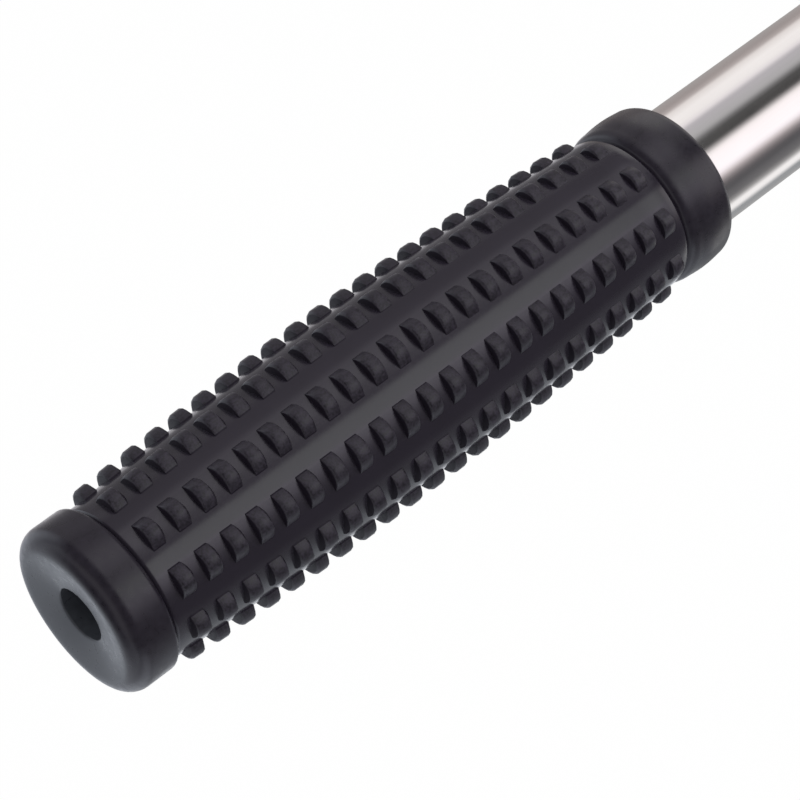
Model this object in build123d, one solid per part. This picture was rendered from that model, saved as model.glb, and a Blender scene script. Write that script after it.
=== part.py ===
from build123d import *
import math
import os

# Telescoping doorway pull-up bar, in millimetres. The bar lies along +X, and x = 0 is the plane of
# the left door jamb. Turning the bar by hand drives a lead screw that pushes the right end out.

# overall
closed_length = 660.0
travel = 200.0
inner_tube_shown = 24.0

# fits, all radial unless named otherwise
seat_gap = 0.02
running_gap = 0.05
free_gap = 0.3
axial_play = 0.1
stop_gap = 0.5

# tubes
outer_tube_d = 28.6
outer_tube_wall = 1.2
inner_tube_wall = 1.5

# grip moulding
grip_length = 163.5
rubber_wall = 1.6
end_wall = 8.0
end_hole_d = 11.6
dish_depth = 1.35
end_face_width = 1.0
flange_step = 1.15
flange_length = 10.4
flange_front_round = 3.75
flange_back_bevel = 1.1
round_bands = 3
mouth_flange_step = 1.2
mouth_flange_length = 14.0
mouth_flange_crown = 0.3
mouth_flange_round = 2.4
mouth_shoulder_length = 3.0
mouth_groove_depth = 0.4
mouth_groove_length = 0.5
mouth_lip_length = 3.0
barrel_bands = 6
barrel_swell = 2.3
barrel_peak_x = 84.8
block_height = 2.1
block_crown_drop = 2.2
block_top_width = 3.9
block_foot_angle = 19.6
block_length = 2.95
block_draft = 0.3
web_depth = 0.8
row_flat_angle = 21.0
block_pitch = 6.17
block_first_x = 14.2
blocks_along = 22
block_rows = 10
first_row_turn = 16.0

# swivel at the left end, and the same cup at the right end
cup_wall = 1.15
cup_end_wall = 7.0
bolt_d = 6.0
bolt_head_d = 10.0
bolt_head_height = 3.6
bolt_socket_across = 4.0
bolt_socket_depth = 2.0
counterbore_d = 11.2
counterbore_depth = 4.0
thrust_washer_inset = 1.3
thrust_washer_thickness = 1.5
plug_flange_thickness = 3.0
left_plug_length = 18.0
right_plug_length = 16.0
nut_across = 10.0
nut_height = 5.0
bolt_beyond_nut = 1.5

# screw drive
screw_chamfer = 1.5
screw_tail = 4.0
anchor_cover = 18.4
anchor_length = 24.0
anchor_pin_d = 5.0
anchor_pin_sunk = 0.2
nut_flange_thickness = 4.0
nut_body_length = 22.0
nut_wall = 2.43
nut_pin_d = 4.0
nut_pin_x = 3.5
nut_pin_end_wall = 0.75
nut_pin_sunk = 0.1
wear_ring_x = 7.0
wear_ring_length = 12.0
wear_ring_slit = 1.0
stop_nut_thickness = 8.0
stop_nut_slot = 3.0
stop_nut_slot_depth = 1.5

# mouth of the outer tube
bush_wall = 1.03
bush_length = 30.0
collar_overlap = 16.0
collar_wall = 2.68
collar_lip_thickness = 3.0
collar_chamfer = 1.5

# sizes that follow
outer_bore_r = outer_tube_d / 2 - outer_tube_wall
inner_tube_r = outer_bore_r - seat_gap - bush_wall - running_gap
inner_bore_r = inner_tube_r - inner_tube_wall
screw_r = inner_bore_r - seat_gap - nut_wall - running_gap
sleeve_bore_r = outer_tube_d / 2 + running_gap
cup_r = sleeve_bore_r + cup_wall
grip_bore_r = cup_r + seat_gap
barrel_end_r = cup_r + rubber_wall
flange_r = barrel_end_r + flange_step
mouth_flange_r = barrel_end_r + mouth_flange_step
collar_bore_r = outer_tube_d / 2 + seat_gap
collar_r = collar_bore_r + collar_wall
bolt_hole_r = bolt_d / 2 + seat_gap

# places that follow
cup_floor_x = end_wall + cup_end_wall
cup_mouth_x = grip_length - mouth_lip_length - axial_play
washer_x = cup_floor_x + axial_play
plug_x = washer_x + thrust_washer_thickness
tube_x = plug_x + plug_flange_thickness
mouth_x = closed_length - grip_length - inner_tube_shown - collar_lip_thickness
anchor_x = cup_mouth_x - anchor_cover - anchor_length
drive_nut_x = anchor_x + anchor_length + stop_gap
inner_tube_x = drive_nut_x + nut_flange_thickness
inner_tube_end_x = closed_length - cup_floor_x
stop_nut_x = inner_tube_x + nut_body_length + travel + stop_gap
screw_end_x = stop_nut_x + stop_nut_thickness + screw_tail
barrel_r_max = barrel_end_r + barrel_swell
crown_r_max = barrel_r_max + block_height
crown_mid_x = block_first_x + ((blocks_along - 1) * block_pitch + block_length) / 2
foot_y = barrel_r_max * math.sin(math.radians(block_foot_angle / 2))
foot_z = barrel_r_max * math.cos(math.radians(block_foot_angle / 2))
bevel_tilt = math.atan2(crown_r_max - foot_z, foot_y - block_top_width / 2)
bevel_share = math.cos(bevel_tilt) + math.sin(bevel_tilt) * block_top_width / (2 * crown_r_max)


def turned(outline):
    """A solid turned about the X axis from a closed outline of (x, radius) points."""
    return revolve(make_face(Polyline(outline, close=True)), axis=Axis.X)


def ring(x0, x1, inner_r, outer_r):
    return turned([(x0, inner_r), (x1, inner_r), (x1, outer_r), (x0, outer_r)])


def rod(x0, x1, radius, chamfer=0.0):
    if not chamfer:
        return ring(x0, x1, 0, radius)
    return turned([(x0, 0), (x0, radius - chamfer), (x0 + chamfer, radius),
                   (x1 - chamfer, radius), (x1, radius - chamfer), (x1, 0)])


def along_x(x, shape):
    """Stand a shape drawn on the XY plane at x, facing along +X."""
    return Pos(x, 0, 0) * Rot(0, 90, 0) * shape


def hex_prism(x, across, height):
    return along_x(x, extrude(RegularPolygon(across / 2, 6, major_radius=False), height))


def to_right_end(shape):
    """Turn a piece of the left end half a turn about Z and move it to the right end."""
    return Pos(closed_length, 0, 0) * Rot(0, 0, 180) * shape


def bowed_r(x, peak_x, peak_r, end_x, drop):
    """Radius at x of a circular arc that is highest at peak_x and lower by drop at end_x."""
    arc_r = ((peak_x - end_x)**2 + drop**2) / (2 * drop)
    return peak_r - arc_r + math.sqrt(arc_r**2 - (x - peak_x)**2)


def barrel_r(x):
    """Radius of the grip's smooth barrel under the blocks, at x."""
    return bowed_r(x, barrel_peak_x, barrel_r_max, block_first_x, barrel_swell)


def crown_r(x):
    """Distance of the blocks' tops from the grip's axis, at x."""
    return bowed_r(x, crown_mid_x, crown_r_max, block_first_x, block_crown_drop)


def rounded(centre_x, centre_r, reach_x, reach_r, start, end):
    """Points of an oval round in the grip's outline, which is turned as narrow conical bands."""
    angles = [math.radians(start + (end - start) * i / round_bands) for i in range(round_bands + 1)]
    return [(centre_x + reach_x * math.cos(a), centre_r + reach_r * math.sin(a)) for a in angles]


def barrel_stations():
    """Places along the barrel between which its surface and the flats under the rows run straight."""
    first_x = flange_length
    last_x = grip_length - mouth_flange_length
    return [first_x + (last_x - first_x) * i / barrel_bands for i in range(barrel_bands + 1)]


def grip_body():
    """The grip without its blocks: dished closed end, flange, barrel, mouth flange and bore."""
    lip_r = outer_tube_d / 2 + free_gap
    lip_x = grip_length - mouth_lip_length
    groove_x = grip_length - mouth_flange_length + mouth_groove_length
    groove_r = barrel_r(grip_length - mouth_flange_length) - mouth_groove_depth
    dish_r = flange_r - flange_front_round - end_face_width
    outline = [(dish_depth, end_hole_d / 2), (0, dish_r)]
    outline += rounded(flange_front_round, flange_r - flange_front_round, flange_front_round,
                       flange_front_round, 180, 90)
    outline += [(flange_length - flange_back_bevel, flange_r),
                (flange_length, flange_r - flange_back_bevel)]
    outline += [(x, barrel_r(x)) for x in barrel_stations()]
    outline += rounded(groove_x + mouth_shoulder_length, groove_r, mouth_shoulder_length,
                       mouth_flange_r - groove_r, 180, 90)
    outline += [(grip_length - mouth_flange_length / 2, mouth_flange_r + mouth_flange_crown)]
    outline += rounded(grip_length - mouth_flange_round, mouth_flange_r - mouth_flange_round,
                       mouth_flange_round, mouth_flange_round, 90, 0)
    outline += [(grip_length, lip_r), (lip_x, lip_r), (lip_x, grip_bore_r)]
    outline += [(end_wall, grip_bore_r), (end_wall, end_hole_d / 2)]
    return turned(outline)


def row_flat():
    """Cutter that leaves a flat along the barrel for one row of blocks, facing +Z."""
    flat_share = math.cos(math.radians(row_flat_angle / 2))
    floor = [(x, 0, barrel_r(x) * flat_share) for x in barrel_stations()]
    above = [(floor[-1][0], 0, 2 * flange_r), (floor[0][0], 0, 2 * flange_r)]
    return blade(floor + above)


def blade(outline):
    """Plate of an outline in the XZ plane, wider than the grip."""
    return extrude(make_face(Polyline(outline, close=True)), 2 * flange_r, dir=(0, 1, 0),
                   both=True)


def block_row():
    """One row of blocks facing +Z with bevelled flanks, on a web that lies inside the barrel."""
    web_r = barrel_end_r - web_depth
    comb = [(block_first_x, 0, web_r - web_depth / 2)]
    flank = [(block_first_x - block_draft, 0, 0)]
    for i in range(blocks_along):
        x0 = block_first_x + i * block_pitch
        x1 = x0 + block_length
        comb += [(x0 - block_draft, 0, web_r), (x0, 0, crown_r(x0)),
                 (x1, 0, crown_r(x1)), (x1 + block_draft, 0, web_r)]
        flank += [(x0 - block_draft, 0, bevel_share * crown_r(x0)),
                  (x1 + block_draft, 0, bevel_share * crown_r(x1))]
    comb.append((comb[-1][0], 0, web_r - web_depth / 2))
    flank.append((flank[-1][0], 0, 0))
    tilt = math.degrees(bevel_tilt)
    return blade(comb) & Rot(tilt, 0, 0) * blade(flank) & Rot(-tilt, 0, 0) * blade(flank)


def grip():
    """The moulded grip with its rows of blocks."""
    turns = [first_row_turn + 360 / block_rows * row for row in range(block_rows)]
    body = grip_body() - [Rot(turn, 0, 0) * row_flat() for turn in turns]
    return body + [Rot(turn, 0, 0) * block_row() for turn in turns]


def end_cup(bore_r):
    """Plastic cup that fills the grip's bore, with a recessed bolt hole in its end wall."""
    head_seat_x = end_wall + counterbore_depth
    wall = ring(end_wall, cup_floor_x, bolt_d / 2 + running_gap, cup_r)
    wall -= rod(end_wall, head_seat_x, counterbore_d / 2)
    return wall + ring(cup_floor_x, cup_mouth_x, bore_r, cup_r)


def swivel_sleeve():
    return end_cup(sleeve_bore_r)


def grip_adapter():
    """The cup on the thinner tube, with a nose that fills the grip's lip."""
    bore_r = inner_tube_r + seat_gap
    cup = end_cup(bore_r) + ring(cup_mouth_x, grip_length - stop_gap, bore_r, outer_tube_d / 2)
    return to_right_end(cup)


def socket_bolt(head_x, length):
    """Cap bolt with a hex socket; head_x is the plane under its head, and it points along +X."""
    head = rod(head_x - bolt_head_height, head_x, bolt_head_d / 2)
    head -= hex_prism(head_x - bolt_head_height, bolt_socket_across, bolt_socket_depth)
    return head + rod(head_x, head_x + length, bolt_d / 2)


def swivel_bolt():
    head_x = end_wall + counterbore_depth - axial_play
    nut_end = tube_x + left_plug_length + nut_height
    return socket_bolt(head_x, nut_end + bolt_beyond_nut - head_x)


def swivel_nut():
    nut_x = tube_x + left_plug_length
    return hex_prism(nut_x, nut_across, nut_height) - rod(nut_x, nut_x + nut_height, bolt_hole_r)


def thrust_washer():
    return ring(washer_x, plug_x, bolt_hole_r, outer_tube_d / 2 - thrust_washer_inset)


def left_end_plug():
    """Flanged plug in the outer tube's end, bored for the swivel bolt."""
    flange = ring(plug_x, tube_x, bolt_hole_r, outer_tube_d / 2)
    end_x = tube_x + left_plug_length
    return flange + ring(tube_x, end_x, bolt_hole_r, outer_bore_r - seat_gap)


def anchor_pin_place(radius, length):
    """The upright place of the pin through tube, anchor and screw."""
    return Pos(anchor_x + anchor_length / 2, 0, 0) * Cylinder(radius, length)


def anchor_pin():
    return anchor_pin_place(anchor_pin_d / 2, outer_tube_d - 2 * anchor_pin_sunk)


def drilled_for_pin(shape):
    return shape - anchor_pin_place(anchor_pin_d / 2 + seat_gap, 2 * outer_tube_d)


def outer_tube():
    return drilled_for_pin(ring(tube_x, mouth_x, outer_bore_r, outer_tube_d / 2))


def screw_anchor():
    end_x = anchor_x + anchor_length
    return drilled_for_pin(ring(anchor_x, end_x, screw_r + seat_gap, outer_bore_r - seat_gap))


def lead_screw():
    return drilled_for_pin(rod(anchor_x - screw_tail, screw_end_x, screw_r, screw_chamfer))


def stop_nut():
    """Round lock nut with four spanner slots in its rim."""
    nut_r = inner_bore_r - 2 * free_gap
    nut = ring(stop_nut_x, stop_nut_x + stop_nut_thickness, screw_r + seat_gap, nut_r)
    slot = Box(stop_nut_thickness, stop_nut_slot, 2 * stop_nut_slot_depth)
    middle_x = stop_nut_x + stop_nut_thickness / 2
    return nut - [Rot(90 * turn, 0, 0) * Pos(middle_x, 0, nut_r) * slot for turn in range(4)]


def guide_bush():
    """Bush in the outer tube's mouth that the inner tube slides through."""
    bore_r = inner_tube_r + running_gap
    return ring(mouth_x - bush_length, mouth_x, bore_r, bore_r + bush_wall)


def mouth_collar():
    """Ring over the outer tube's mouth, with a lip that holds the bush."""
    start_x = mouth_x - collar_overlap
    end_x = mouth_x + collar_lip_thickness
    lip_r = inner_tube_r + free_gap
    return turned([(start_x, collar_bore_r), (start_x, collar_r), (end_x - collar_chamfer, collar_r),
                   (end_x, collar_r - collar_chamfer), (end_x, lip_r), (mouth_x, lip_r),
                   (mouth_x, collar_bore_r)])


def nut_pin_places(radius, outer_r):
    """Two short radial pin places, above and below the axis."""
    inner_r = screw_r + running_gap + nut_pin_end_wall
    length = outer_r - inner_r
    x = inner_tube_x + nut_pin_x
    middle = inner_r + length / 2
    return [Pos(x, 0, side * middle) * Cylinder(radius, length) for side in (1, -1)]


def nut_pins():
    return Compound(nut_pin_places(nut_pin_d / 2, inner_tube_r - nut_pin_sunk))


def inner_tube():
    tube = ring(inner_tube_x, inner_tube_end_x, inner_bore_r, inner_tube_r)
    return tube - nut_pin_places(nut_pin_d / 2 + seat_gap, 2 * inner_tube_r)


def drive_nut():
    """Flanged nut that fills the inner tube's end and runs on the lead screw."""
    bore_r = screw_r + running_gap
    flange = ring(drive_nut_x, inner_tube_x, bore_r, inner_tube_r)
    nut = flange + ring(inner_tube_x, inner_tube_x + nut_body_length, bore_r, bore_r + nut_wall)
    return nut - nut_pin_places(nut_pin_d / 2 + seat_gap, 2 * inner_tube_r)


def wear_ring():
    """Slit ring that snaps on the inner tube and runs in the outer tube."""
    start_x = inner_tube_x + wear_ring_x
    end_x = start_x + wear_ring_length
    body = ring(start_x, end_x, inner_tube_r + seat_gap, outer_bore_r - running_gap)
    slit = Box(2 * wear_ring_length, wear_ring_slit, outer_tube_d)
    return body - Pos((start_x + end_x) / 2, 0, outer_tube_d / 2) * slit


def right_end_plug():
    start_x = inner_tube_end_x - right_plug_length
    return ring(start_x, inner_tube_end_x, bolt_hole_r, inner_bore_r - seat_gap)


def right_end_screw():
    head_x = end_wall + counterbore_depth
    length = cup_floor_x + right_plug_length - head_x - bolt_beyond_nut
    return to_right_end(socket_bolt(head_x, length))


def build_parts():
    left_grip = grip()
    return {
        "left_grip": left_grip,
        "swivel_sleeve": swivel_sleeve(),
        "swivel_bolt": swivel_bolt(),
        "swivel_nut": swivel_nut(),
        "thrust_washer": thrust_washer(),
        "left_end_plug": left_end_plug(),
        "outer_tube": outer_tube(),
        "screw_anchor": screw_anchor(),
        "anchor_pin": anchor_pin(),
        "lead_screw": lead_screw(),
        "stop_nut": stop_nut(),
        "guide_bush": guide_bush(),
        "mouth_collar": mouth_collar(),
        "inner_tube": inner_tube(),
        "drive_nut": drive_nut(),
        "nut_pins": nut_pins(),
        "wear_ring": wear_ring(),
        "grip_adapter": grip_adapter(),
        "right_end_plug": right_end_plug(),
        "right_end_screw": right_end_screw(),
        "right_grip": to_right_end(left_grip),
    }


os.makedirs("parts", exist_ok=True)
for node, shape in build_parts().items():
    export_step(shape, f"parts/{node}.step")
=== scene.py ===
import bmesh
import bpy
import math
from mathutils import Matrix, Vector


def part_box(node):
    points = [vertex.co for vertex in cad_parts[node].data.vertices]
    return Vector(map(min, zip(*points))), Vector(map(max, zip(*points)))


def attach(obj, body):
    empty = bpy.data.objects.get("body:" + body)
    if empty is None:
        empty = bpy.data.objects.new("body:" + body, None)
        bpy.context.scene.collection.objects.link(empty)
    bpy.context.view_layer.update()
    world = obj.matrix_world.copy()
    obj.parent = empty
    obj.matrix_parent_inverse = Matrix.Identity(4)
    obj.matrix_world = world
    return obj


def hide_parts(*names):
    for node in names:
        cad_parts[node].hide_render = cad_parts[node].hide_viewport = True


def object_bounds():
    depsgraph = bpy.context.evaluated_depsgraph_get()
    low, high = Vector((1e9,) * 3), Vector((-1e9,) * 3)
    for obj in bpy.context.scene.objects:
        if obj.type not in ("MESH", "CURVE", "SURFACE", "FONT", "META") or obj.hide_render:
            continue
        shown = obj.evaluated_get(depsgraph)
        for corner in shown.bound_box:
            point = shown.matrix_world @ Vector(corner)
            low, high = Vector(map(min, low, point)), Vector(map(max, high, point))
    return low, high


# Telescoping doorway pull-up bar with moulded rubber grips. The bar lies along +X, in metres,
# and x = 0 is the left jamb. Sizes in the dictionaries are millimetres and degrees where no unit is given.

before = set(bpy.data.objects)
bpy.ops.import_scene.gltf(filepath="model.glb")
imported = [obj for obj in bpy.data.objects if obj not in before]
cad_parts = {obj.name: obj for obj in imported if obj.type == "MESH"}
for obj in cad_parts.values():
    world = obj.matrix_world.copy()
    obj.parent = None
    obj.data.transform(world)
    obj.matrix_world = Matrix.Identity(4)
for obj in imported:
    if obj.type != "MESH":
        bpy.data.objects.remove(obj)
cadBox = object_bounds()
scene = bpy.context.scene
mm = 0.001
print("frame loaded, box", [[round(v, 4) for v in corner] for corner in cadBox])


def addNode(tree, kind, inputs=None, **settings):
    # inputs takes a number or name of a socket, and a value or the socket it is linked from
    node = tree.nodes.new(kind)
    for name, value in settings.items():
        setattr(node, name, value)
    for socket, value in (inputs or {}).items():
        if isinstance(value, bpy.types.NodeSocket):
            tree.links.new(value, node.inputs[socket])
        else:
            node.inputs[socket].default_value = value
    return node


def linear(hexColour):
    # sRGB hex to the linear colour that shaders take
    channels = [int(hexColour[i:i + 2], 16) / 255 for i in (1, 3, 5)]
    return [c / 12.92 if c <= 0.04045 else ((c + 0.055) / 1.055) ** 2.4 for c in channels] + [1.0]


def arc(centreX, centreR, radius, start, end, steps, rise=None):
    # points of a round in a turned outline, (x, radius) in mm; rise makes it an oval
    turns = [math.radians(start + (end - start) * i / steps) for i in range(steps + 1)]
    return [(centreX + radius * math.cos(t), centreR + (rise or radius) * math.sin(t)) for t in turns]


def newTree(name, sockets):
    tree = bpy.data.node_groups.new(name, "GeometryNodeTree")
    tree.interface.new_socket("Geometry", in_out="INPUT", socket_type="NodeSocketGeometry")
    for label, kind in sockets:
        tree.interface.new_socket(label, in_out="INPUT", socket_type="NodeSocket" + kind)
    tree.interface.new_socket("Geometry", in_out="OUTPUT", socket_type="NodeSocketGeometry")
    return tree, addNode(tree, "NodeGroupInput").outputs


def runTree(name, mesh, tree, values):
    # puts the tree on a carrier object, sets its named inputs, and returns the result as a plain mesh
    carrier = bpy.data.objects.new(name, mesh)
    scene.collection.objects.link(carrier)
    modifier = carrier.modifiers.new(tree.name, "NODES")
    modifier.node_group = tree
    for item in tree.interface.items_tree:
        if item.in_out == "INPUT" and item.name in values:
            modifier[item.identifier] = values[item.name]
    depsgraph = bpy.context.evaluated_depsgraph_get()
    result = bpy.data.meshes.new_from_object(carrier.evaluated_get(depsgraph))
    carrier.modifiers.remove(modifier)
    bpy.data.objects.remove(carrier)
    return result


def joined(name, meshes, place=Matrix.Identity(4)):
    # one object at the origin from several meshes, with their materials kept
    whole = bmesh.new()
    materials = []
    for mesh in meshes:
        slots = {}
        for index, material in enumerate(mesh.materials):
            if material not in materials:
                materials.append(material)
            slots[index] = materials.index(material)
        part = mesh.copy()
        for polygon in part.polygons:
            polygon.material_index = slots.get(polygon.material_index, 0)
        part.transform(place)
        whole.from_mesh(part)
        bpy.data.meshes.remove(part)
    mesh = bpy.data.meshes.new(name)
    whole.to_mesh(mesh)
    whole.free()
    for material in materials:
        mesh.materials.append(material)
    piece = bpy.data.objects.new(name, mesh)
    scene.collection.objects.link(piece)
    return piece


# The camera looks at the left grip from in front, above and beyond the jamb.
cameraSetup = {
    "place": (-0.1771, -0.2708, 0.4437),   # metres
    "azimuth": -43.97,
    "elevation": 50.1,
    "lens": 131.8,
    "sensor": 36.0,
    "clip": (0.01, 50),                    # metres
}


def makeCamera(setup):
    data = bpy.data.cameras.new("camera")
    data.lens = setup["lens"]
    data.sensor_width = setup["sensor"]
    data.clip_start, data.clip_end = setup["clip"]
    camera = bpy.data.objects.new("camera", data)
    camera.location = setup["place"]
    camera.rotation_euler = (math.radians(90 - setup["elevation"]), 0, math.radians(setup["azimuth"]))
    scene.collection.objects.link(camera)
    scene.camera = camera


makeCamera(cameraSetup)
print("camera set")


# The studio: soft lamps, a sky of strip lights that only gloss sees, a tube of light round the
# chrome and a pale floor.
studio = {
    "softLevel": 0.5,           # what matt surfaces get from all round
    "lamps": [                  # direction from the grip, distance in metres, size, watts
        ((0.42, -0.52, 0.74), 1.1, 0.7, 3.2),
        ((-0.55, 0.45, 0.70), 1.3, 0.9, 1.6),
    ],
    "lampTarget": (0.08, 0.0, 0.0),
    "strips": [                 # angle round the bar from +Z toward -Y, brightness, tint
        (-180, 0.52, "#f4f8ff"),
        (-170, 1.05, "#f4f8ff"),
        (-150, 1.50, "#fbfcff"),
        (-138, 1.25, "#fdfaff"),
        (-120, 0.85, "#fdfaff"),
        (-112, 0.38, "#fdfaff"),
        (-100, 0.30, "#fdfaff"),
        (-75, 0.33, "#fdf9ff"),
        (-62, 0.55, "#fdf9ff"),
        (-50, 0.32, "#fdf9ff"),
        (-30, 0.42, "#fdf9ff"),
        (-20, 0.92, "#fbf8ff"),
        (0, 1.22, "#fbf8ff"),
        (6, 1.08, "#fbf8ff"),
        (12, 0.66, "#fbf8ff"),
        (27, 0.34, "#fbf8ff"),
        (31, 1.34, "#f9fcfa"),
        (49, 1.42, "#f9fcfa"),
        (51, 1.72, "#f8f3ff"),
        (58, 1.45, "#f8f3ff"),
        (66, 0.95, "#f8f3ff"),
        (74, 0.40, "#f8f3ff"),
        (86, 0.11, "#ffffff"),
        (112, 0.10, "#ffffff"),
        (130, 0.35, "#f6f9ff"),
        (146, 0.50, "#f0f6ff"),
        (157, 0.62, "#eff6ff"),
        (172, 0.53, "#f2f8ff"),
        (180, 0.52, "#f4f8ff"),
    ],
    "endBelow": [               # lower half beyond the left end: lean along the bar, brightness, tint
        (-1.0, 0.04, "#eef4ff"),
        (-0.88, 0.12, "#eef4ff"),
        (-0.74, 0.60, "#eef4ff"),
        (-0.52, 1.00, "#eef4ff"),
        (-0.42, 0.38, "#eef4ff"),
        (-0.28, 1.05, "#eef4ff"),
        (0.2, 1.15, "#eef4ff"),
    ],
    "endAbove": [               # upper half
        (-1.0, 0.05, "#fbf8ff"),
        (-0.92, 0.55, "#fbf8ff"),
        (-0.80, 0.55, "#fbf8ff"),
        (-0.62, 0.07, "#fbf8ff"),
        (0.2, 0.07, "#fbf8ff"),
    ],
    "endReach": (0.0, 0.2),     # lean along the bar where the ends of the sky give way to the strips
    "farShade": (0.60, 0.72, 0.85),   # lean where the upper strips darken, from and to, and how much
    "upperSide": 31.0,          # middle of the upper half
    "halfBlend": 0.1,           # how softly the halves meet
    "tentStrips": [             # the same for the tube of light round the chrome
        (-180, 0.42, "#ffffff"),
        (-110, 0.42, "#fff8f6"),
        (-80, 0.43, "#fff4f2"),
        (-68, 0.56, "#fff5f3"),
        (-61, 0.98, "#fffaf8"),
        (-45, 1.18, "#fffdfc"),
        (-31, 1.14, "#fffdfc"),
        (-24, 1.00, "#fffbfe"),
        (-18, 0.61, "#fcf9ff"),
        (-3, 0.57, "#fdfdff"),
        (1.5, 0.49, "#fdfdff"),
        (6, 0.25, "#fafafc"),
        (11, 0.11, "#fafafa"),
        (21, 0.085, "#fafafa"),
        (24.5, 0.10, "#fafafa"),
        (29, 0.54, "#fffafa"),
        (33, 1.18, "#fffafa"),
        (38, 1.35, "#fffafc"),
        (60, 1.40, "#fffcff"),
        (65, 1.25, "#fffaff"),
        (70, 0.86, "#fff6f8"),
        (75, 0.47, "#fff6f8"),
        (80, 0.25, "#fff6fa"),
        (87, 0.135, "#fcf8ff"),
        (93, 0.13, "#f8f8ff"),
        (105, 0.185, "#fafaff"),
        (111, 0.21, "#fcfcff"),
        (119, 0.42, "#ffffff"),
        (128, 1.20, "#ffffff"),
        (137, 1.15, "#ffffff"),
        (148, 0.39, "#f4faff"),
        (180, 0.42, "#ffffff"),
    ],
    "tentStart": 0.178,         # metres along the bar, past where the near grip's gloss looks
    "tentEnd": 0.47,
    "tentRadius": 0.05,
    "tentSides": 72,
    "floorMiddle": (0.33, 0.0, -0.35),   # metres
    "floorSize": 8.0,
    "floorCells": 8,
    "floorLift": 0.99,          # how much of the floor's white the camera sees whatever falls on it
}


def addRamp(tree, value, low, high, strips):
    # brightness and tint as a ramp over a value that runs from low to high
    along = addNode(tree, "ShaderNodeMapRange", {"Value": value, "From Min": low, "From Max": high})
    ramp = addNode(tree, "ShaderNodeValToRGB", {"Fac": along.outputs["Result"]})
    brightest = max(level for at, level, tint in strips)
    stops = ramp.color_ramp.elements
    while len(stops) > 1:
        stops.remove(stops[-1])
    for index, (at, level, tint) in enumerate(strips):
        spot = (at - low) / (high - low)
        stop = stops[0] if index == 0 else stops.new(spot)
        stop.position = spot
        stop.color = [c * level / brightest for c in linear(tint)[:3]] + [1]
    return ramp.outputs["Color"], brightest


def addTurn(tree, direction):
    # the angle of a direction round the bar, in degrees from +Z toward -Y
    parts = addNode(tree, "ShaderNodeSeparateXYZ", {0: direction})
    front = addNode(tree, "ShaderNodeMath", {0: parts.outputs["Y"], 1: -1.0}, operation="MULTIPLY")
    turn = addNode(tree, "ShaderNodeMath", {0: front.outputs[0], 1: parts.outputs["Z"]}, operation="ARCTAN2")
    degrees = addNode(tree, "ShaderNodeMath", {0: turn.outputs[0]}, operation="DEGREES")
    return parts.outputs["X"], degrees.outputs[0]


def makeWorld(setup):
    world = bpy.data.worlds.new("studio")
    scene.world = world
    world.use_nodes = True
    tree = world.node_tree
    tree.nodes.clear()
    direction = addNode(tree, "ShaderNodeTexCoord").outputs["Generated"]
    lean, turn = addTurn(tree, direction)
    colour, level = addRamp(tree, turn, -180, 180, setup["strips"])
    strips = addNode(tree, "ShaderNodeBackground", {"Color": colour, "Strength": level})

    # the strips, darker where they lean far along the bar in the upper half
    up = math.radians(setup["upperSide"])
    facing = addNode(tree, "ShaderNodeVectorMath", {0: direction, 1: (0, -math.sin(up), math.cos(up))},
                     operation="DOT_PRODUCT")
    upper = addNode(tree, "ShaderNodeMapRange", {
        "Value": facing.outputs["Value"], "From Min": -setup["halfBlend"], "From Max": setup["halfBlend"]})
    start, full, amount = setup["farShade"]
    far = addNode(tree, "ShaderNodeMapRange", {
        "Value": lean, "From Min": start, "From Max": full, "To Max": amount})
    shade = addNode(tree, "ShaderNodeMath", {0: upper.outputs["Result"], 1: far.outputs["Result"]},
                    operation="MULTIPLY")
    dark = addNode(tree, "ShaderNodeBackground", {"Color": linear("#ffffff"), "Strength": 0.0})
    strips = addNode(tree, "ShaderNodeMixShader", {
        0: shade.outputs[0], 1: strips.outputs[0], 2: dark.outputs[0]})

    # beyond the left end a sky of its own for each half
    inner, outer = setup["endReach"]
    ends = []
    for half in ("endBelow", "endAbove"):
        colour, level = addRamp(tree, lean, -1, outer, setup[half])
        ends.append(addNode(tree, "ShaderNodeBackground", {"Color": colour, "Strength": level}).outputs[0])
    end = addNode(tree, "ShaderNodeMixShader", {0: upper.outputs["Result"], 1: ends[0], 2: ends[1]})
    toEnd = addNode(tree, "ShaderNodeMapRange", {"Value": lean, "From Min": outer, "From Max": inner})
    shown = addNode(tree, "ShaderNodeMixShader", {
        0: toEnd.outputs["Result"], 1: strips.outputs[0], 2: end.outputs[0]})

    # gloss sees that, matt surfaces an even grey, and the camera white
    soft = addNode(tree, "ShaderNodeBackground", {"Color": linear("#ffffff"), "Strength": setup["softLevel"]})
    white = addNode(tree, "ShaderNodeBackground", {"Color": linear("#ffffff"), "Strength": 1.0})
    rays = addNode(tree, "ShaderNodeLightPath")
    seen = addNode(tree, "ShaderNodeMath", {
        0: rays.outputs["Is Camera Ray"], 1: rays.outputs["Is Transmission Ray"]}, operation="MAXIMUM")
    gloss = addNode(tree, "ShaderNodeMixShader", {
        0: rays.outputs["Is Glossy Ray"], 1: soft.outputs[0], 2: shown.outputs[0]})
    final = addNode(tree, "ShaderNodeMixShader", {
        0: seen.outputs[0], 1: gloss.outputs[0], 2: white.outputs[0]})
    addNode(tree, "ShaderNodeOutputWorld", {"Surface": final.outputs[0]})
    world.cycles.sampling_method = "NONE"   # a light map would give gloss the sky of matt surfaces


def stageMaterial(piece, name):
    material = bpy.data.materials.new(name)
    material.use_nodes = True
    material.node_tree.nodes.clear()
    piece.data.materials.append(material)
    return material.node_tree


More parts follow.
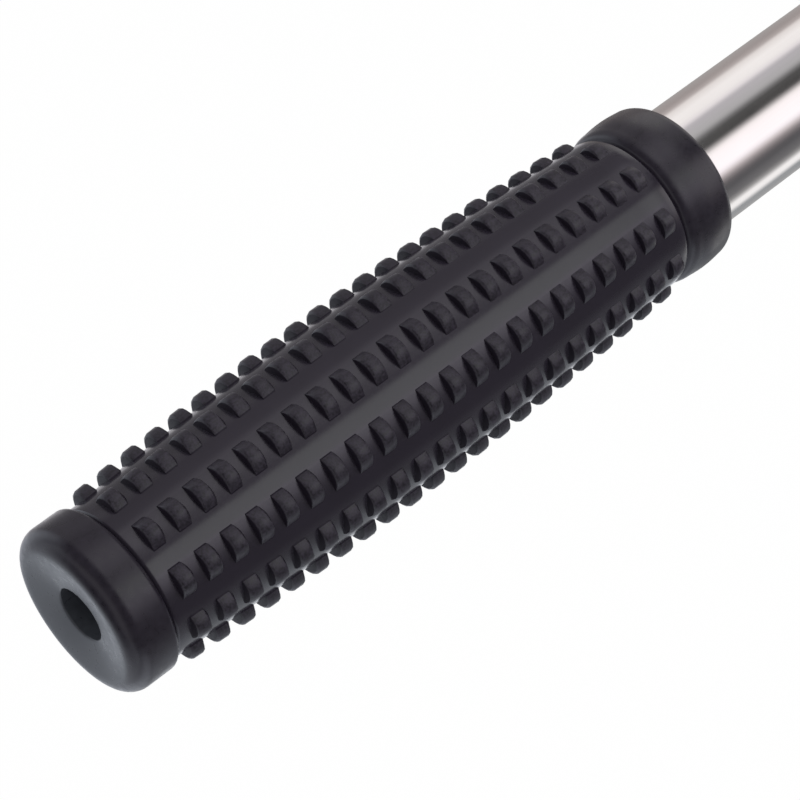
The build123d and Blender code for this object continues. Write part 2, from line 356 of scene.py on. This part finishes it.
def makeTent(setup):
    # an open tube of light round the chrome, seen by gloss alone
    sides, radius = setup["tentSides"], setup["tentRadius"]
    points = []
    for x in (setup["tentStart"], setup["tentEnd"]):
        for i in range(sides):
            turn = 2 * math.pi * i / sides
            points.append((x, radius * math.sin(turn), radius * math.cos(turn)))
    walls = [(i, (i + 1) % sides, sides + (i + 1) % sides, sides + i) for i in range(sides)]
    mesh = bpy.data.meshes.new("lightTent")
    mesh.from_pydata(points, [], walls)
    tent = bpy.data.objects.new("lightTent", mesh)
    scene.collection.objects.link(tent)
    tree = stageMaterial(tent, "tentLight")
    lean, turn = addTurn(tree, addNode(tree, "ShaderNodeTexCoord").outputs["Object"])
    colour, level = addRamp(tree, turn, -180, 180, setup["tentStrips"])
    glow = addNode(tree, "ShaderNodeEmission", {"Color": colour, "Strength": level})
    addNode(tree, "ShaderNodeOutputMaterial", {"Surface": glow.outputs[0]})
    tent.visible_camera = False
    tent.visible_diffuse = False
    tent.visible_transmission = False
    tent.visible_shadow = False


def makeLamps(setup):
    for index, (direction, distance, size, watts) in enumerate(setup["lamps"]):
        data = bpy.data.lights.new(f"softLamp{index}", "AREA")
        data.shape = "DISK"
        data.size = size
        data.energy = watts
        lamp = bpy.data.objects.new(f"softLamp{index}", data)
        toLamp = Vector(direction).normalized()
        lamp.location = Vector(setup["lampTarget"]) + toLamp * distance
        lamp.rotation_euler = toLamp.to_track_quat("Z", "Y").to_euler()
        lamp.visible_glossy = False   # the strips of the sky are what gloss shows
        scene.collection.objects.link(lamp)


def makeFloor(setup):
    # matt white that keeps the shadow, with enough white added for the camera to lose its far edge
    mesh = bpy.data.meshes.new("floor")
    grid = bmesh.new()
    cells = setup["floorCells"]
    bmesh.ops.create_grid(grid, x_segments=cells, y_segments=cells, size=setup["floorSize"] / 2)
    grid.to_mesh(mesh)
    grid.free()
    floor = bpy.data.objects.new("floor", mesh)
    floor.location = setup["floorMiddle"]
    scene.collection.objects.link(floor)
    tree = stageMaterial(floor, "paleFloor")
    matt = addNode(tree, "ShaderNodeBsdfDiffuse", {"Color": linear("#ffffff")})
    white = addNode(tree, "ShaderNodeEmission", {"Color": linear("#ffffff"), "Strength": 1.0})
    rays = addNode(tree, "ShaderNodeLightPath")
    lift = addNode(tree, "ShaderNodeMath", {0: rays.outputs["Is Camera Ray"], 1: setup["floorLift"]},
                   operation="MULTIPLY")
    both = addNode(tree, "ShaderNodeMixShader", {0: lift.outputs[0], 1: matt.outputs[0], 2: white.outputs[0]})
    addNode(tree, "ShaderNodeOutputMaterial", {"Surface": both.outputs[0]})
    floor.visible_glossy = False


makeWorld(studio)
makeTent(studio)
makeLamps(studio)
makeFloor(studio)
scene.view_settings.view_transform = "Standard"
print("studio set")


noiseMost = (0.3, 0.7)      # nearly all of a noise's values lie between these
noiseMiddle = (0.35, 0.65)  # and most of them between these


def newMaterial(name):
    material = bpy.data.materials.new(name)
    material.use_nodes = True
    tree = material.node_tree
    tree.nodes.clear()
    return material, tree, addNode(tree, "ShaderNodeTexCoord").outputs["Object"]


def finishMaterial(tree, colour, roughness, height, depth, **plain):
    # the shader with its colour, its roughness, a bump of so many millimetres and its plain values
    bump = addNode(tree, "ShaderNodeBump", {"Height": height, "Distance": depth * mm, "Strength": 1.0})
    shader = addNode(tree, "ShaderNodeBsdfPrincipled", {
        "Base Color": colour, "Roughness": roughness, "Normal": bump.outputs["Normal"], **plain})
    addNode(tree, "ShaderNodeOutputMaterial", {"Surface": shader.outputs["BSDF"]})


def perMetre(sizeMm):
    # a noise scale whose features are about this many millimetres
    return 1 / (sizeMm * mm)


rubberLook = {
    "dark": "#26222b",
    "light": "#2d2833",
    "paintedSheen": "#474a51",     # painted sheen: the hollow end face is drawn lighter and bluer in place of the light it reflects
    "paintedSheenInside": 14.3,    # radius it fills, and where it has run out
    "paintedSheenOutside": 15.6,
    "flowSize": 9.0,        # slow change of shade where the rubber flowed in the mould
}

# Skins of the moulding: size and depth of the unevenness in mm, roughness from and to, how much the high
# spots lighten and low ones darken, overall shade, how strongly it mirrors, and how much painted sheen it
# gives the end face. The walls of the blocks are rough and carry painted shade: they are drawn darker and
# mirror least, so they stay dark. The grain of their tops is drawn coarser than real spark grain, which would
# be too fine to show.
skins = {
    "smoothRubber": {
        "size": 0.7, "depth": 0.002, "rough": (0.13, 0.19), "speck": 0.0,
        "shade": 1.0, "ior": 1.54, "paintedSheen": 0.0},
    "dulledRubber": {
        "size": 0.6, "depth": 0.006, "rough": (0.20, 0.27), "speck": 0.06,
        "shade": 1.0, "ior": 1.54, "paintedSheen": 0.0},
    # the flange skin also covers the end face and gives it the painted sheen
    "flangeRubber": {
        "size": 1.6, "depth": 0.004, "rough": (0.26, 0.36), "speck": 0.10,
        "shade": 0.85, "ior": 1.49, "paintedSheen": 1.0},
    # painted shade: the walls of the blocks are drawn darker and mirror weakly
    "paintedShadeWallRubber": {
        "size": 0.6, "depth": 0.006, "rough": (0.34, 0.46), "speck": 0.10,
        "shade": 0.85, "ior": 1.22, "paintedSheen": 0.0},
    "grainedRubber": {
        "size": 0.48, "depth": 0.028, "rough": (0.36, 0.52), "speck": 0.45,
        "shade": 1.0, "ior": 1.54, "paintedSheen": 0.0},
}


def mouldedRubber(name, look, skin):
    # moulded natural rubber: near black with a violet cast. Smooth skin takes clear broad highlights,
    # dulled skin softens them, and grained places scatter them so they look matt and a little lighter.
    material, tree, place = newMaterial(name)
    flow = addNode(tree, "ShaderNodeTexNoise", {
        "Vector": place, "Scale": perMetre(look["flowSize"]), "Detail": 2.0})
    grain = addNode(tree, "ShaderNodeTexNoise", {
        "Vector": place, "Scale": perMetre(skin["size"]), "Detail": 1.5, "Roughness": 0.6})
    plain = addNode(tree, "ShaderNodeMix", {
        0: flow.outputs["Fac"], 6: linear(look["dark"]), 7: linear(look["light"])}, data_type="RGBA")

    # painted sheen: the colour is lightened only near the bar's axis, so on the end face
    across = addNode(tree, "ShaderNodeVectorMath", {0: place, 1: (0, 1, 1)}, operation="MULTIPLY")
    radius = addNode(tree, "ShaderNodeVectorMath", {0: across.outputs[0]}, operation="LENGTH")
    paintedSheenMask = addNode(tree, "ShaderNodeMapRange", {
        "Value": radius.outputs["Value"], "From Min": look["paintedSheenOutside"] * mm,
        "From Max": look["paintedSheenInside"] * mm, "To Max": skin["paintedSheen"]})
    shade = addNode(tree, "ShaderNodeMix", {
        0: paintedSheenMask.outputs["Result"], 6: plain.outputs[2], 7: linear(look["paintedSheen"])}, data_type="RGBA")

    speck = addNode(tree, "ShaderNodeMapRange", {
        "Value": grain.outputs["Fac"], "From Min": noiseMiddle[0], "From Max": noiseMiddle[1],
        "To Min": skin["shade"] * (1 - skin["speck"]), "To Max": skin["shade"] * (1 + skin["speck"])})
    tinted = addNode(tree, "ShaderNodeVectorMath", {0: shade.outputs[2], 3: speck.outputs["Result"]},
                     operation="SCALE")
    rough = addNode(tree, "ShaderNodeMapRange", {
        "Value": grain.outputs["Fac"], "From Min": noiseMost[0], "From Max": noiseMost[1],
        "To Min": skin["rough"][0], "To Max": skin["rough"][1]})
    finishMaterial(tree, tinted.outputs[0], rough.outputs["Result"], grain.outputs["Fac"], skin["depth"],
                   IOR=skin["ior"])
    return material


chromeLook = {
    "colour": "#e6e3e2",
    "shaded": "#d9d5d4",
    "rough": (0.10, 0.17),
    "streakSize": 0.25,     # lengthwise polishing lines, across the tube; real ones are too fine to show
    "streakLength": 60.0,
    "streakDepth": 0.0006,
    "cloudSize": 14.0,
}


def polishedChrome(name, look):
    # bright chromium over polished steel tube: a mirror slightly softened by lengthwise polishing
    # lines, with faint clouding where it has been handled
    material, tree, place = newMaterial(name)
    squeeze = look["streakSize"] / look["streakLength"]
    stretch = addNode(tree, "ShaderNodeMapping", {"Vector": place, "Scale": (squeeze, 1, 1)})
    streak = addNode(tree, "ShaderNodeTexNoise", {
        "Vector": stretch.outputs[0], "Scale": perMetre(look["streakSize"]), "Detail": 3.0})
    cloud = addNode(tree, "ShaderNodeTexNoise", {
        "Vector": place, "Scale": perMetre(look["cloudSize"]), "Detail": 4.0})
    both = addNode(tree, "ShaderNodeMix", {0: 0.5, 2: streak.outputs["Fac"], 3: cloud.outputs["Fac"]})
    rough = addNode(tree, "ShaderNodeMapRange", {
        "Value": both.outputs[0], "From Min": noiseMiddle[0], "From Max": noiseMiddle[1],
        "To Min": look["rough"][0], "To Max": look["rough"][1]})
    shade = addNode(tree, "ShaderNodeMix", {
        0: both.outputs[0], 6: linear(look["shaded"]), 7: linear(look["colour"])}, data_type="RGBA")
    finishMaterial(tree, shade.outputs[2], rough.outputs["Result"], streak.outputs["Fac"],
                   look["streakDepth"], Metallic=1.0)
    return material


metalLooks = {
    "zincedSteel": {"colour": "#c3c4c6", "tarnish": "#a5a6a9", "rough": (0.25, 0.42)},
    "turnedBronze": {"colour": "#cba66a", "tarnish": "#b48c50", "rough": (0.24, 0.40)},
}
toolMarks = {"size": 0.3, "stretch": 50, "depth": 0.004, "tarnishSize": 4.0}


def machinedMetal(name, look, marks):
    # turned and drilled metal: fine rings round the bar from the tool, a little tarnish between them
    material, tree, place = newMaterial(name)
    squeeze = addNode(tree, "ShaderNodeMapping", {
        "Vector": place, "Scale": (1, 1 / marks["stretch"], 1 / marks["stretch"])})
    rings = addNode(tree, "ShaderNodeTexNoise", {
        "Vector": squeeze.outputs[0], "Scale": perMetre(marks["size"]), "Detail": 2.0})
    tarnish = addNode(tree, "ShaderNodeTexNoise", {
        "Vector": place, "Scale": perMetre(marks["tarnishSize"]), "Detail": 4.0})
    shade = addNode(tree, "ShaderNodeMix", {
        0: tarnish.outputs["Fac"], 6: linear(look["tarnish"]), 7: linear(look["colour"])}, data_type="RGBA")
    rough = addNode(tree, "ShaderNodeMapRange", {
        "Value": rings.outputs["Fac"], "From Min": noiseMost[0], "From Max": noiseMost[1],
        "To Min": look["rough"][0], "To Max": look["rough"][1]})
    finishMaterial(tree, shade.outputs[2], rough.outputs["Result"], rings.outputs["Fac"], marks["depth"],
                   Metallic=1.0)
    return material


plasticLooks = {
    "blackNylon": {"colour": "#242427", "dark": "#1c1c1f", "rough": (0.42, 0.60)},
    "naturalNylon": {"colour": "#e6e1d3", "dark": "#dad4c4", "rough": (0.40, 0.55)},
}
mouldTexture = {"size": 0.35, "depth": 0.012, "flowSize": 8.0, "ior": 1.53}


def mouldedPlastic(name, look, texture):
    # injection-moulded nylon: fine even texture, soft sheen, slight change of shade over the part
    material, tree, place = newMaterial(name)
    fine = addNode(tree, "ShaderNodeTexNoise", {
        "Vector": place, "Scale": perMetre(texture["size"]), "Detail": 2.0})
    flow = addNode(tree, "ShaderNodeTexNoise", {
        "Vector": place, "Scale": perMetre(texture["flowSize"]), "Detail": 2.0})
    shade = addNode(tree, "ShaderNodeMix", {
        0: flow.outputs["Fac"], 6: linear(look["dark"]), 7: linear(look["colour"])}, data_type="RGBA")
    rough = addNode(tree, "ShaderNodeMapRange", {
        "Value": fine.outputs["Fac"], "From Min": noiseMost[0], "From Max": noiseMost[1],
        "To Min": look["rough"][0], "To Max": look["rough"][1]})
    finishMaterial(tree, shade.outputs[2], rough.outputs["Result"], fine.outputs["Fac"], texture["depth"],
                   IOR=texture["ior"])
    return material


rubbers = {name: mouldedRubber(name, rubberLook, skin) for name, skin in skins.items()}
chromedSteel = polishedChrome("chromedSteel", chromeLook)
zincedSteel, turnedBronze = (machinedMetal(name, look, toolMarks) for name, look in metalLooks.items())
blackNylon, naturalNylon = (mouldedPlastic(name, look, mouldTexture) for name, look in plasticLooks.items())
print("materials made")


def latheTree():
    # a closed outline swept round the bar's axis
    tree, inputs = newTree("turnedPiece", [
        ("Segments", "Int"), ("Rail Radius", "Float"), ("Material", "Material")])
    outline = addNode(tree, "GeometryNodeMeshToCurve", {"Mesh": inputs["Geometry"]})
    rail = addNode(tree, "GeometryNodeCurvePrimitiveCircle", {
        "Resolution": inputs["Segments"], "Radius": inputs["Rail Radius"]})
    swept = addNode(tree, "GeometryNodeCurveToMesh", {
        "Curve": rail.outputs["Curve"], "Profile Curve": outline.outputs["Curve"]})
    laid = addNode(tree, "GeometryNodeTransform", {
        "Geometry": swept.outputs["Mesh"], "Rotation": (0, math.radians(90), 0)})
    solid = addNode(tree, "GeometryNodeRealizeInstances", {"Geometry": laid.outputs["Geometry"]})
    painted = addNode(tree, "GeometryNodeSetMaterial", {
        "Geometry": solid.outputs[0], "Material": inputs["Material"]})
    addNode(tree, "NodeGroupOutput", {"Geometry": painted.outputs[0]})
    return tree


turnedPiece = latheTree()
railRadius = 10.0   # of the circle the outline is swept along, any size does
sharpAngle = 35.0   # edges steeper than this stay sharp


def turnedMesh(name, outline, segments, material):
    # the outline is (x, radius) points in mm round a closed section
    mesh = bpy.data.meshes.new(name)
    points = [((r - railRadius) * mm, -x * mm, 0) for x, r in outline]
    mesh.from_pydata(points, [(i, (i + 1) % len(points)) for i in range(len(points))], [])
    result = runTree(name, mesh, turnedPiece, {
        "Segments": segments, "Rail Radius": railRadius * mm, "Material": material})
    shell = bmesh.new()
    shell.from_mesh(result)
    bmesh.ops.recalc_face_normals(shell, faces=shell.faces)
    for face in shell.faces:
        face.smooth = True
    shell.to_mesh(result)
    shell.free()
    result.set_sharp_from_angle(angle=math.radians(sharpAngle))
    return result


gripBody = {
    "length": 163.5,
    "boreRadius": 15.52,
    "endWall": 8.0,
    "holeRadius": 5.8,
    "holeMiddle": 5.0,          # a ring of points part way down the hole
    "holeEdgeRound": 0.45,
    "dishDepth": 1.35,
    "dishFall": 1.25,           # 1 is a straight cone, more falls away by the hole
    "dishInset": 0.3,           # from the rim's round
    "rimRound": 3.75,
    "flangeRadius": 18.25,
    "flangeLength": 10.4,
    "flangeBackRound": 1.1,
    "flangeGroove": [(0, 0.18), (0.25, 0.22), (0.5, 0.06)],   # past the flange, and how deep
    "flangeGrooveEnd": 0.8,
    "barrelRadius": 19.39,      # at the barrel's middle
    "barrelMiddle": 84.8,
    "barrelArc": 1084.0,
    "barrelStart": (3.0, 0.12), # at the flange the barrel runs down over this length by this much
    "barrelFade": (5.0, 0.4),   # and at the mouth
    "mouthFlangeRadius": 18.3,
    "mouthFlangeLength": 14.0,
    "mouthFlangeCrown": 0.3,
    "mouthFlangeRound": 2.4,
    "mouthShoulder": 3.0,       # the flange rises over this length from the groove behind the barrel
    "mouthGrooveDepth": 0.15,
    "mouthGrooveLength": 0.5,
    "mouthGrooveBend": 0.15,
    "mouthRadius": 14.6,
    "mouthLip": 3.0,
    "mouthLipRound": 0.4,
    "dishSteps": 14,
    "barrelSteps": 44,
    "crownSteps": 12,
    "segments": 180,
}

gripBlocks = {
    "rows": 10,
    "firstRow": 16.0,           # from +Z toward -Y
    "along": 22,
    "firstX": 14.2,
    "pitch": 6.17,
    "length": 3.05,             # of the top
    "nearDraft": 0.15,          # how far a block's foot stands out past its top toward the closed end
    "farDraft": 1.0,            # and toward the mouth, more where the block is higher
    "leastDraft": 0.1,          # what is left of that at the sides
    "angle": 22.0,
    "height": 2.15,             # of the dome above its foot circle
    "fade": 1.15,               # 1 is a round lens, more runs out flatter into the barrel
    "topRadius": 21.5,          # over the highest blocks
    "topMiddle": 80.46,
    "topArc": 998.9,
    "nearEdge": 0.56,           # rounds of the top's edges
    "farEdge": 0.28,
    "farEdgeRise": 0.6,         # height from which the far edge has its full round
    "cornerStart": 0.82,        # share of the half width where the corners start to turn in
    "cornerRound": 0.4,
    "stations": [-1.1, -0.95, -0.8, -0.6, -0.35, 0.0, 0.35, 0.6, 0.8, 0.95, 1.1],   # shares of the half width
    "skirt": 3.5,               # how steeply a block runs down into the barrel past its foot
    "sunk": (0.5, 0.2),         # how deep the end walls go, below the foot circle and below the top
    "dullHalf": 9.5,            # degrees of duller skin to each side of a row's middle
    "grainReach": 0.9,          # share of the half width that is grained
}


def barrelRadius(body, x):
    bend = body["barrelArc"]
    return body["barrelRadius"] - bend + math.sqrt(bend ** 2 - (x - body["barrelMiddle"]) ** 2)


def gripOutline(body):
    # the closed end with its hole and hollow face
    hole, soft = body["holeRadius"], body["holeEdgeRound"]
    outline = [(body["endWall"], hole), (body["holeMiddle"], hole)]
    outline += arc(body["dishDepth"] + soft, hole + soft, soft, 270, 190, 4)
    rim, back = body["rimRound"], body["flangeBackRound"]
    rimInner = body["flangeRadius"] - rim
    dishX, dishRadius = outline[-1]
    for i in range(1, body["dishSteps"]):
        share = i / body["dishSteps"]
        outline.append((dishX * (1 - share) ** body["dishFall"],
                        dishRadius + (rimInner - body["dishInset"] - dishRadius) * share))

    # the flange, its groove and the barrel
    start = body["flangeLength"]
    outline += arc(rim, rimInner, rim, 180, 90, 12)
    outline += arc(start - back, body["flangeRadius"] - back, back, 90, 0, 6)
    lead, dip = body["barrelStart"]
    fade, drop = body["barrelFade"]
    base = barrelRadius(body, start) - dip
    outline += [(start + x, base - depth) for x, depth in body["flangeGroove"]]
    first = start + body["flangeGrooveEnd"] + lead
    outline += arc(first, barrelRadius(body, first) - dip, lead, 175, 97, 8, dip)
    mouth = body["length"] - body["mouthFlangeLength"]
    for i in range(body["barrelSteps"]):
        x = first + (mouth - fade - first) * i / body["barrelSteps"]
        outline.append((x, barrelRadius(body, x)))
    outline += arc(mouth - fade, barrelRadius(body, mouth - fade) - drop, fade, 90, 8, 9, drop)

    # the flange at the mouth, which rises in a long shoulder and has a slight crown
    grooveX = mouth + body["mouthGrooveLength"]
    grooveRadius = barrelRadius(body, mouth) - drop - body["mouthGrooveDepth"]
    outline.append((grooveX - body["mouthGrooveBend"], grooveRadius))
    radius, outer = body["mouthFlangeRadius"], body["mouthFlangeRound"]
    crownStart, crownEnd = grooveX + body["mouthShoulder"], body["length"] - outer
    outline += arc(crownStart, grooveRadius, body["mouthShoulder"], 172, 90, 10, radius - grooveRadius)
    for i in range(1, body["crownSteps"]):
        share = i / body["crownSteps"]
        outline.append((crownStart + (crownEnd - crownStart) * share,
                        radius + body["mouthFlangeCrown"] * math.sin(math.pi * share)))
    outline += arc(crownEnd, radius - outer, outer, 90, 0, 8)

    # the lip and the bore
    lip, lipX = body["mouthLipRound"], body["length"] - body["mouthLip"]
    outline += arc(body["length"] - lip, body["mouthRadius"] + lip, lip, 0, -90, 4)
    return outline + [(lipX, body["mouthRadius"]), (lipX, body["boreRadius"]),
                      (body["endWall"], body["boreRadius"])]


def blockCell(blocks):
    # one block laid flat: x along the bar, y the angle round it, z the depth below the block's crown.
    # It is a slice of a rib with a lens-shaped section. Its end toward the closed end of the grip is
    # steep, the other slopes more and turns in at its corners.
    half, height = blocks["length"] / 2, blocks["height"]
    bend = 1 - math.sqrt(0.5)   # the middle of a quarter round
    stations = blocks["stations"]
    cell = bmesh.new()
    grained = cell.faces.layers.float.new("grained")
    strips = []
    for side in stations:
        rise = height * max(0.0, 1 - side ** 2) ** blocks["fade"] - blocks["skirt"] * max(0.0, abs(side) - 1)
        stand = max(0.0, rise) / height
        drop = rise - height
        near = blocks["nearEdge"] * stand
        far = blocks["farEdge"] * max(0.0, min(1.0, rise / blocks["farEdgeRise"]))
        corner = max(0.0, (abs(side) - blocks["cornerStart"]) / (1.0 - blocks["cornerStart"]))
        end = half - blocks["cornerRound"] * (1 - math.sqrt(max(0.0, 1 - min(1.0, corner) ** 2)))
        foot = min(-height - blocks["sunk"][0], drop - blocks["sunk"][1])
        section = [(-half - blocks["nearDraft"], foot), (-half, drop - near),
                   (-half + near * bend, drop - near * bend), (-half + near, drop),
                   (end - far, drop), (end - far * bend, drop - far * bend), (end, drop - far),
                   (end + blocks["leastDraft"] + blocks["farDraft"] * stand, foot)]
        turn = math.radians(side * blocks["angle"] / 2)
        strips.append([cell.verts.new((x * mm, turn, z * mm)) for x, z in section])
    for k, (left, right) in enumerate(zip(strips, strips[1:])):
        onTop = abs(stations[k] + stations[k + 1]) / 2 < blocks["grainReach"]
        endWall = len(left) - 2
        for i in range(endWall + 1):
            face = cell.faces.new((left[i], left[i + 1], right[i + 1], right[i]))
            face.smooth = 0 < i < endWall
            face[grained] = float(0 < i < endWall and onTop)
    mesh = bpy.data.meshes.new("blockCell")
    cell.to_mesh(mesh)
    cell.free()
    return mesh


def blocksTree():
    # a grid of cells laid flat, then rolled round the swelling barrel
    tree, inputs = newTree("gripBlocks", [
        ("Blocks Along", "Int"), ("Rows", "Int"), ("First Block", "Float"), ("Pitch", "Float"),
        ("Row Turn", "Float"), ("First Row", "Float"), ("Crown Middle", "Float"), ("Crown Radius", "Float"),
        ("Crown Arc", "Float"), ("Material", "Material"), ("Top Material", "Material")])
    place = addNode(tree, "GeometryNodeInputPosition").outputs[0]
    flat = addNode(tree, "ShaderNodeSeparateXYZ", {0: place}).outputs
    known = {socket.name: socket for socket in inputs}
    known.update({"Flat X": flat["X"], "Flat Turn": flat["Y"], "Flat Rise": flat["Z"]})
    steps = [
        ("Gaps Along", "SUBTRACT", "Blocks Along", 1.0),
        ("Span X", "MULTIPLY", "Gaps Along", "Pitch"),
        ("Gaps Round", "SUBTRACT", "Rows", 1.0),
        ("Span Turn", "MULTIPLY", "Gaps Round", "Row Turn"),
        ("Half Span X", "MULTIPLY", "Span X", 0.5),
        ("From Start", "ADD", "Flat X", "First Block"),
        ("X", "ADD", "From Start", "Half Span X"),
        ("Half Span Turn", "MULTIPLY", "Span Turn", 0.5),
        ("From First Row", "ADD", "Flat Turn", "Half Span Turn"),
        ("Turn", "ADD", "From First Row", "First Row"),
        ("Off Middle", "SUBTRACT", "X", "Crown Middle"),      # the crowns drop on an arc along the bar
        ("Off Squared", "MULTIPLY", "Off Middle", "Off Middle"),
        ("Arc Squared", "MULTIPLY", "Crown Arc", "Crown Arc"),
        ("Height Squared", "SUBTRACT", "Arc Squared", "Off Squared"),
        ("Arc Height", "SQRT", "Height Squared", 0.0),
        ("Arc Drop", "SUBTRACT", "Crown Arc", "Arc Height"),
        ("Crown", "SUBTRACT", "Crown Radius", "Arc Drop"),
        ("Radius", "ADD", "Crown", "Flat Rise"),
        ("Minus Radius", "MULTIPLY", "Radius", -1.0),
        ("Sine", "SINE", "Turn", 0.0),
        ("Cosine", "COSINE", "Turn", 0.0),
        ("Y", "MULTIPLY", "Sine", "Minus Radius"),
        ("Z", "MULTIPLY", "Cosine", "Radius"),
    ]
    for name, operation, first, second in steps:
        node = addNode(tree, "ShaderNodeMath", {0: known.get(first, first), 1: known.get(second, second)},
                       operation=operation, label=name)
        known[name] = node.outputs[0]
    grid = addNode(tree, "GeometryNodeMeshGrid", {
        "Size X": known["Span X"], "Size Y": known["Span Turn"],
        "Vertices X": inputs["Blocks Along"], "Vertices Y": inputs["Rows"]})
    placed = addNode(tree, "GeometryNodeInstanceOnPoints", {
        "Points": grid.outputs["Mesh"], "Instance": inputs["Geometry"]})
    loose = addNode(tree, "GeometryNodeRealizeInstances", {"Geometry": placed.outputs["Instances"]})
    rolled = addNode(tree, "ShaderNodeCombineXYZ", {"X": known["X"], "Y": known["Y"], "Z": known["Z"]})
    wrapped = addNode(tree, "GeometryNodeSetPosition", {
        "Geometry": loose.outputs[0], "Position": rolled.outputs[0]})
    painted = addNode(tree, "GeometryNodeSetMaterial", {
        "Geometry": wrapped.outputs[0], "Material": inputs["Material"]})
    tops = addNode(tree, "GeometryNodeInputNamedAttribute", {"Name": "grained"}, data_type="FLOAT")
    topped = addNode(tree, "GeometryNodeSetMaterial", {
        "Geometry": painted.outputs[0], "Selection": tops.outputs["Attribute"],
        "Material": inputs["Top Material"]})
    addNode(tree, "NodeGroupOutput", {"Geometry": topped.outputs[0]})
    return tree


def dullSkin(shell, body, blocks):
    # the bands the blocks stand on have a duller skin than the strips between, the flanges duller still
    shell.materials.append(rubbers["dulledRubber"])
    shell.materials.append(rubbers["flangeRubber"])
    spacing = 360 / blocks["rows"]
    mouth = body["length"] - body["mouthFlangeLength"] + body["mouthGrooveLength"]
    for face in shell.polygons:
        x = face.center.x / mm
        turn = math.degrees(math.atan2(-face.center.y, face.center.z))
        fromRow = abs((turn - blocks["firstRow"] + spacing / 2) % spacing - spacing / 2)
        if x < body["flangeLength"] or x > mouth:
            face.material_index = 2
        elif fromRow < blocks["dullHalf"]:
            face.material_index = 1


def makeGrips(body, blocks):
    shell = turnedMesh("gripShell", gripOutline(body), body["segments"], rubbers["smoothRubber"])
    dullSkin(shell, body, blocks)
    # the walls of the blocks take the painted shade of their own rubber, the tops the grain
    studs = runTree("gripStuds", blockCell(blocks), blocksTree(), {
        "Blocks Along": blocks["along"], "Rows": blocks["rows"],
        "First Block": (blocks["firstX"] + blocks["length"] / 2) * mm, "Pitch": blocks["pitch"] * mm,
        "Row Turn": 2 * math.pi / blocks["rows"], "First Row": math.radians(blocks["firstRow"]),
        "Crown Middle": blocks["topMiddle"] * mm, "Crown Radius": blocks["topRadius"] * mm,
        "Crown Arc": blocks["topArc"] * mm,
        "Material": rubbers["paintedShadeWallRubber"], "Top Material": rubbers["grainedRubber"]})
    toRight = Matrix.Translation((cadBox[1].x, 0, 0)) @ Matrix.Rotation(math.pi, 4, "Z")
    for name, node, carrier, place in (("leftGripRubber", "left_grip", "left_end", Matrix.Identity(4)),
                                       ("rightGripRubber", "right_grip", "extension", toRight)):
        grip = joined(name, [shell, studs], place)
        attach(grip, carrier)
        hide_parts(node)
        print(name, len(grip.data.polygons), "faces")


makeGrips(gripBody, gripBlocks)
print("grips made")


tubes = {
    "outerRadius": 14.3,
    "outerBore": 13.1,
    "innerRadius": 12.0,
    "innerBore": 10.5,
    "endRound": 0.35,
    "rings": 8,
    "segments": 160,
}

collarSizes = {
    "start": 453.5,
    "end": 472.5,
    "lipStart": 469.5,
    "bore": 14.32,
    "lipBore": 12.3,
    "lipRound": 0.3,
    "radius": 17.0,
    "endRound": 1.5,
    "startRound": 0.6,
    "segments": 160,
}


def tubeOutline(node, bore, radius, sizes):
    # a plain tube as long as its CAD node, with softened outer edges
    low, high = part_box(node)
    start, end = low[0] / mm, high[0] / mm
    soft, rings = sizes["endRound"], sizes["rings"]
    outline = [(start, bore)]
    outline += arc(start + soft, radius - soft, soft, 180, 90, 4)
    outline += [(start + (end - start) * i / rings, radius) for i in range(1, rings)]
    outline += arc(end - soft, radius - soft, soft, 90, 0, 4)
    return outline + [(end, bore)]


def collarOutline(collar):
    # a ring with rounded outer edges and a lip over the tube's end
    outline = [(collar["start"], collar["bore"])]
    for x, soft, turns in ((collar["start"] + collar["startRound"], collar["startRound"], (180, 90, 4)),
                           (collar["end"] - collar["endRound"], collar["endRound"], (90, 0, 6))):
        outline += arc(x, collar["radius"] - soft, soft, *turns)
    soft = collar["lipRound"]
    outline += arc(collar["end"] - soft, collar["lipBore"] + soft, soft, 0, -90, 3)
    return outline + [(collar["lipStart"], collar["lipBore"]), (collar["lipStart"], collar["bore"])]


def turnedPart(name, node, carrier, outline, segments, material):
    piece = joined(name, [turnedMesh(name + "Mesh", outline, segments, material)])
    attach(piece, carrier)
    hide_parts(node)


def makeTubes(sizes, collar):
    outer = tubeOutline("outer_tube", sizes["outerBore"], sizes["outerRadius"], sizes)
    inner = tubeOutline("inner_tube", sizes["innerBore"], sizes["innerRadius"], sizes)
    ring = collarOutline(collar)
    turnedPart("chromeTube", "outer_tube", "bar", outer, sizes["segments"], chromedSteel)
    turnedPart("chromeExtension", "inner_tube", "extension", inner, sizes["segments"],
               chromedSteel)
    turnedPart("collarRing", "mouth_collar", "bar", ring, collar["segments"], blackNylon)


makeTubes(tubes, collarSizes)
print("tubes and collar made")


# Finishes of the pieces that keep their own mesh; the rest are zinced steel.
finishes = {
    "swivel_sleeve": blackNylon,
    "grip_adapter": blackNylon,
    "thrust_washer": turnedBronze,
    "guide_bush": naturalNylon,
    "wear_ring": naturalNylon,
    "drive_nut": turnedBronze,
}


def finishNodes():
    for name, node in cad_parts.items():
        node.data.materials.clear()
        node.data.materials.append(finishes.get(name, zincedSteel))


finishNodes()
print("inner pieces finished")
